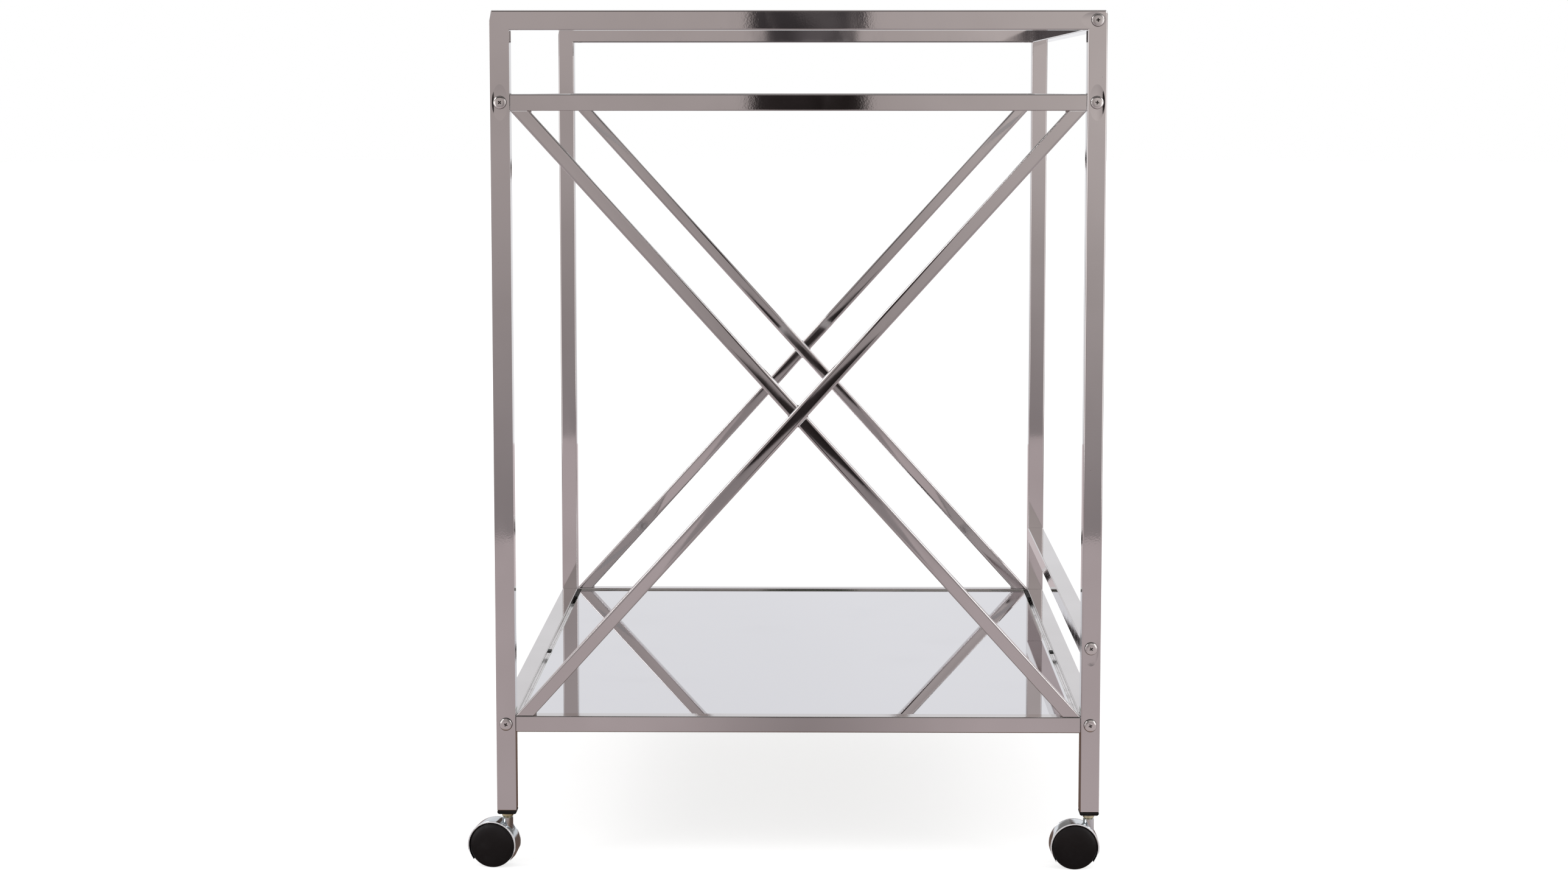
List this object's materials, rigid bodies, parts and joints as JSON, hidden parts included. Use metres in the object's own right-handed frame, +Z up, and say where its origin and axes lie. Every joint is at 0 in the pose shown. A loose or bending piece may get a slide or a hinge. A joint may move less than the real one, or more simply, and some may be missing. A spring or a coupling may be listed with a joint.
{
  "type": "bar cart",
  "caption": "Two-tier bar cart: chromed square-tube frame with X-braced ends, inset mirror shelves and hooded twin-wheel swivel casters.",
  "frame": {"origin": "on the floor, under the middle of the box of the whole cart", "axes": "+X along the cart's length, +Y towards the railed back, +Z up"},
  "size_m": [0.7922, 0.6268, 0.845],
  "materials": {
    "frame_chrome": "polished chrome plate on square steel tube",
    "hood_chrome": "polished chrome plate on cast zinc",
    "bolt_steel": "nickel-plated steel",
    "stem_zinc": "yellow zinc-plated steel",
    "mirror_glass": "silvered mirror glass with a polished, slightly green edge",
    "plug_plastic": "black moulded plastic",
    "wheel_plastic": "black nylon"
  },
  "bodies": {
    "cart_frame": {"back_guard_rail": "frame_chrome", "back_leg_left": "frame_chrome", "back_leg_right": "frame_chrome", "back_lower_rail": "frame_chrome", "back_top_rail": "frame_chrome", "back_upper_rail": "frame_chrome", "bolt_back_guard_rail_left": "bolt_steel", "bolt_back_guard_rail_right": "bolt_steel", "bolt_back_lower_rail_left": "bolt_steel", "bolt_back_lower_rail_right": "bolt_steel", "bolt_back_top_rail_left": "bolt_steel", "bolt_back_top_rail_right": "bolt_steel", "bolt_back_upper_rail_left": "bolt_steel", "bolt_back_upper_rail_right": "bolt_steel", "bolt_front_lower_rail_left": "bolt_steel", "bolt_front_lower_rail_right": "bolt_steel", "bolt_front_upper_rail_left": "bolt_steel", "bolt_front_upper_rail_right": "bolt_steel", "brace_left": "frame_chrome", "brace_lower_half_left": "frame_chrome", "brace_lower_half_right": "frame_chrome", "brace_right": "frame_chrome", "brace_upper_half_left": "frame_chrome", "brace_upper_half_right": "frame_chrome", "foot_plug_back_left": "plug_plastic", "foot_plug_back_right": "plug_plastic", "foot_plug_front_left": "plug_plastic", "foot_plug_front_right": "plug_plastic", "front_leg_left": "frame_chrome", "front_leg_right": "frame_chrome", "front_lower_rail": "frame_chrome", "front_upper_rail": "frame_chrome", "lower_cross_rail_left": "frame_chrome", "lower_cross_rail_right": "frame_chrome", "lower_mirror_shelf": "mirror_glass", "top_rail_left": "frame_chrome", "top_rail_right": "frame_chrome", "upper_cross_rail_left": "frame_chrome", "upper_cross_rail_right": "frame_chrome", "upper_mirror_shelf": "mirror_glass"},
    "caster_front_right": {"hood_front_right": "hood_chrome", "stem_front_right": "stem_zinc", "axle_front_right": "bolt_steel"},
    "wheel_right_front_right": {"wheel_right_front_right": "wheel_plastic"},
    "wheel_left_front_right": {"wheel_left_front_right": "wheel_plastic"},
    "caster_front_left": {"hood_front_left": "hood_chrome", "stem_front_left": "stem_zinc", "axle_front_left": "bolt_steel"},
    "wheel_right_front_left": {"wheel_right_front_left": "wheel_plastic"},
    "wheel_left_front_left": {"wheel_left_front_left": "wheel_plastic"},
    "caster_back_right": {"hood_back_right": "hood_chrome", "stem_back_right": "stem_zinc", "axle_back_right": "bolt_steel"},
    "wheel_right_back_right": {"wheel_right_back_right": "wheel_plastic"},
    "wheel_left_back_right": {"wheel_left_back_right": "wheel_plastic"},
    "caster_back_left": {"hood_back_left": "hood_chrome", "stem_back_left": "stem_zinc", "axle_back_left": "bolt_steel"},
    "wheel_right_back_left": {"wheel_right_back_left": "wheel_plastic"},
    "wheel_left_back_left": {"wheel_left_back_left": "wheel_plastic"}
  },
  "joints": [
    {"name": "swivel_front_right", "type": "hinge", "parent": "cart_frame", "child": "caster_front_right", "pos_m": [0.383, -0.27347, 0.05], "axis": [0, 0, 1], "continuous": true},
    {"name": "roll_right_front_right", "type": "hinge", "parent": "caster_front_right", "child": "wheel_right_front_right", "pos_m": [0.38105, -0.28733, 0.0225], "axis": [0.9903, -0.1392, 0], "continuous": true},
    {"name": "roll_left_front_right", "type": "hinge", "parent": "caster_front_right", "child": "wheel_left_front_right", "pos_m": [0.38105, -0.28733, 0.0225], "axis": [0.9903, -0.1392, 0], "continuous": true},
    {"name": "swivel_front_left", "type": "hinge", "parent": "cart_frame", "child": "caster_front_left", "pos_m": [-0.383, -0.27347, 0.05], "axis": [0, 0, 1], "continuous": true},
    {"name": "roll_right_front_left", "type": "hinge", "parent": "caster_front_left", "child": "wheel_right_front_left", "pos_m": [-0.38105, -0.28733, 0.0225], "axis": [0.9903, 0.1392, 0], "continuous": true},
    {"name": "roll_left_front_left", "type": "hinge", "parent": "caster_front_left", "child": "wheel_left_front_left", "pos_m": [-0.38105, -0.28733, 0.0225], "axis": [0.9903, 0.1392, 0], "continuous": true},
    {"name": "swivel_back_right", "type": "hinge", "parent": "cart_frame", "child": "caster_back_right", "pos_m": [0.383, 0.30353, 0.05], "axis": [0, 0, 1], "continuous": true},
    {"name": "roll_right_back_right", "type": "hinge", "parent": "caster_back_right", "child": "wheel_right_back_right", "pos_m": [0.383, 0.28953, 0.0225], "axis": [1, 0, 0], "continuous": true},
    {"name": "roll_left_back_right", "type": "hinge", "parent": "caster_back_right", "child": "wheel_left_back_right", "pos_m": [0.383, 0.28953, 0.0225], "axis": [1, 0, 0], "continuous": true},
    {"name": "swivel_back_left", "type": "hinge", "parent": "cart_frame", "child": "caster_back_left", "pos_m": [-0.383, 0.30353, 0.05], "axis": [0, 0, 1], "continuous": true},
    {"name": "roll_right_back_left", "type": "hinge", "parent": "caster_back_left", "child": "wheel_right_back_left", "pos_m": [-0.383, 0.28953, 0.0225], "axis": [1, 0, 0], "continuous": true},
    {"name": "roll_left_back_left", "type": "hinge", "parent": "caster_back_left", "child": "wheel_left_back_left", "pos_m": [-0.383, 0.28953, 0.0225], "axis": [1, 0, 0], "continuous": true}
  ]
}
